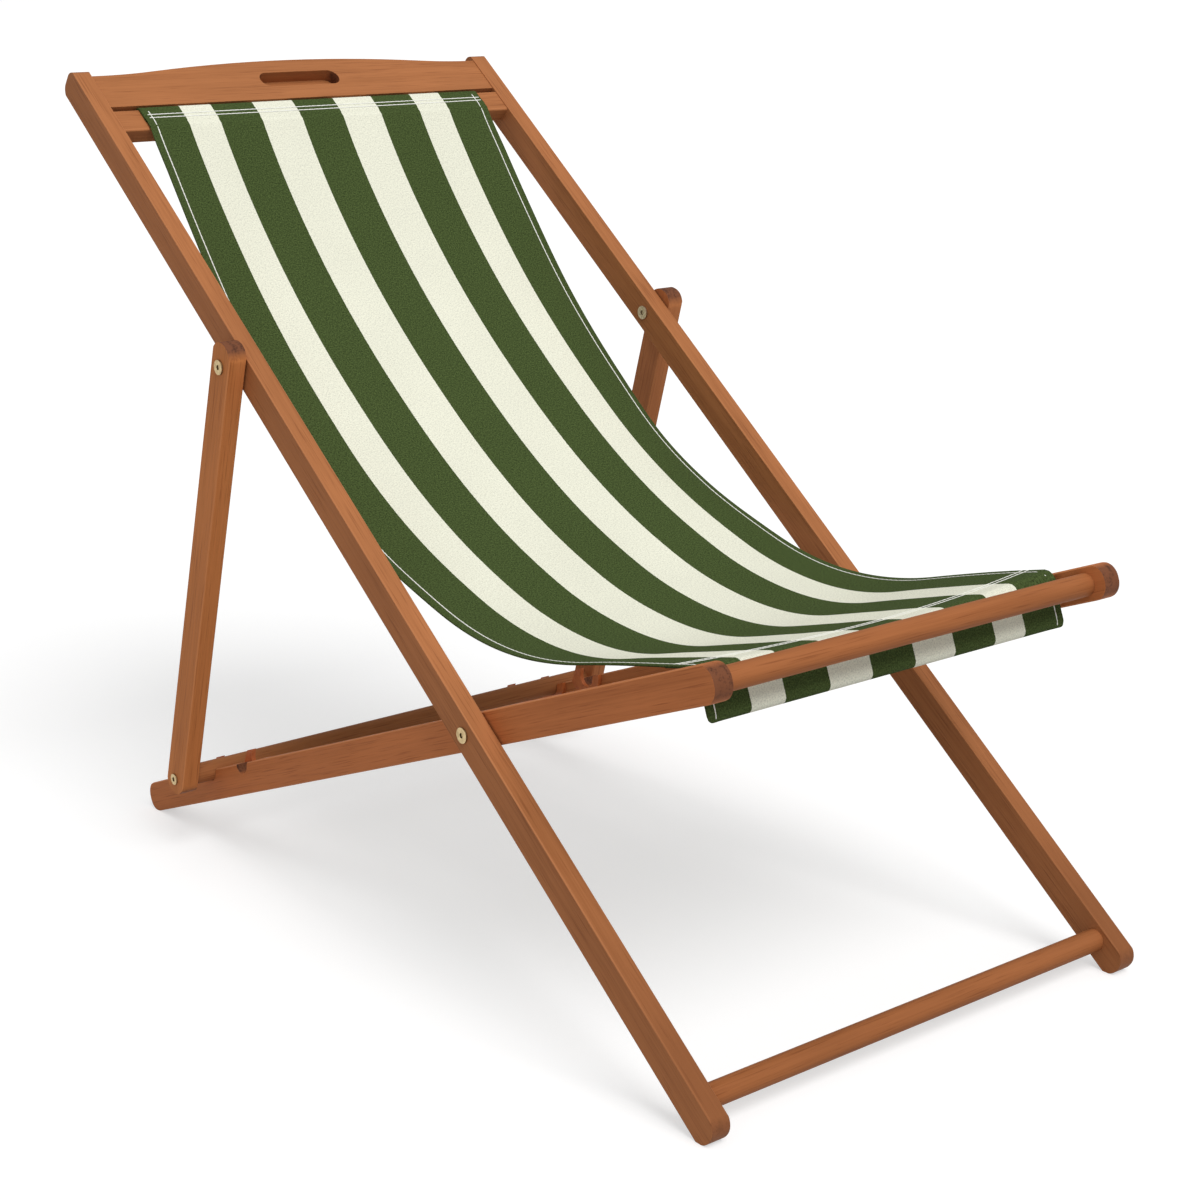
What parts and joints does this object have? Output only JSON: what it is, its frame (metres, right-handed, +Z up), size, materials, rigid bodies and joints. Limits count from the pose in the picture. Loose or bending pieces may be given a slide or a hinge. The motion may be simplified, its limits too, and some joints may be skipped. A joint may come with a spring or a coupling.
{
  "type": "deck chair",
  "caption": "Folding wooden deck chair: crossed back and seat frames, a notched rear prop and a hanging striped cloth sling.",
  "frame": {"origin": "on the floor, under the middle of the chair's bounding box, chair set up in its middle notch", "axes": "+Z up, -Y the way a sitter faces, +X to the sitter's left"},
  "size_m": [0.609, 1.0947, 0.8606],
  "materials": {
    "oiled_wood": "oiled hardwood, fine straight grain",
    "sling_cloth": "woven canvas, green and cream stripes along its length",
    "brass_fitting": "satin brass",
    "hook_moulding": "red-brown satin moulding"
  },
  "bodies": {
    "back_frame": {"back_rail_right": "oiled_wood", "back_rail_left": "oiled_wood", "head_rail": "oiled_wood", "sling_top_rail": "oiled_wood", "foot_stretcher": "oiled_wood", "top_sling_rod": "oiled_wood", "sling": "sling_cloth", "main_pivot_bolt_right": "brass_fitting", "main_pivot_bolt_left": "brass_fitting", "main_pivot_nut_right": "brass_fitting", "main_pivot_nut_left": "brass_fitting", "main_pivot_washer_right": "brass_fitting", "main_pivot_washer_left": "brass_fitting", "prop_pivot_bolt_right": "brass_fitting", "prop_pivot_bolt_left": "brass_fitting", "prop_pivot_nut_right": "brass_fitting", "prop_pivot_nut_left": "brass_fitting", "prop_pivot_washer_right": "brass_fitting", "prop_pivot_washer_left": "brass_fitting"},
    "seat_frame": {"seat_rail_right": "oiled_wood", "seat_rail_left": "oiled_wood", "front_dowel": "oiled_wood", "seat_sling_rail": "oiled_wood", "front_sling_rod": "oiled_wood", "notch_hook_right_1": "hook_moulding", "notch_hook_right_2": "hook_moulding", "notch_hook_right_3": "hook_moulding", "notch_hook_left_1": "hook_moulding", "notch_hook_left_2": "hook_moulding", "notch_hook_left_3": "hook_moulding"},
    "prop_frame": {"prop_leg_right": "oiled_wood", "prop_leg_left": "oiled_wood", "prop_crossbar": "oiled_wood", "crossbar_bolt_right": "brass_fitting", "crossbar_bolt_left": "brass_fitting"}
  },
  "joints": [
    {"name": "seat_fold", "type": "hinge", "parent": "back_frame", "child": "seat_frame", "pos_m": [0, -0.1919, 0.27905], "axis": [-1, 0, 0], "range_deg": [0, 116], "deforming": ["sling"]},
    {"name": "prop_fold", "type": "hinge", "parent": "back_frame", "child": "prop_frame", "pos_m": [0, 0.19226, 0.57674], "axis": [-1, 0, 0], "range_deg": [0, 65]}
  ],
  "couplings": [
    {"joint": "prop_fold", "follows": "seat_fold", "ratio": 0.5603}
  ]
}
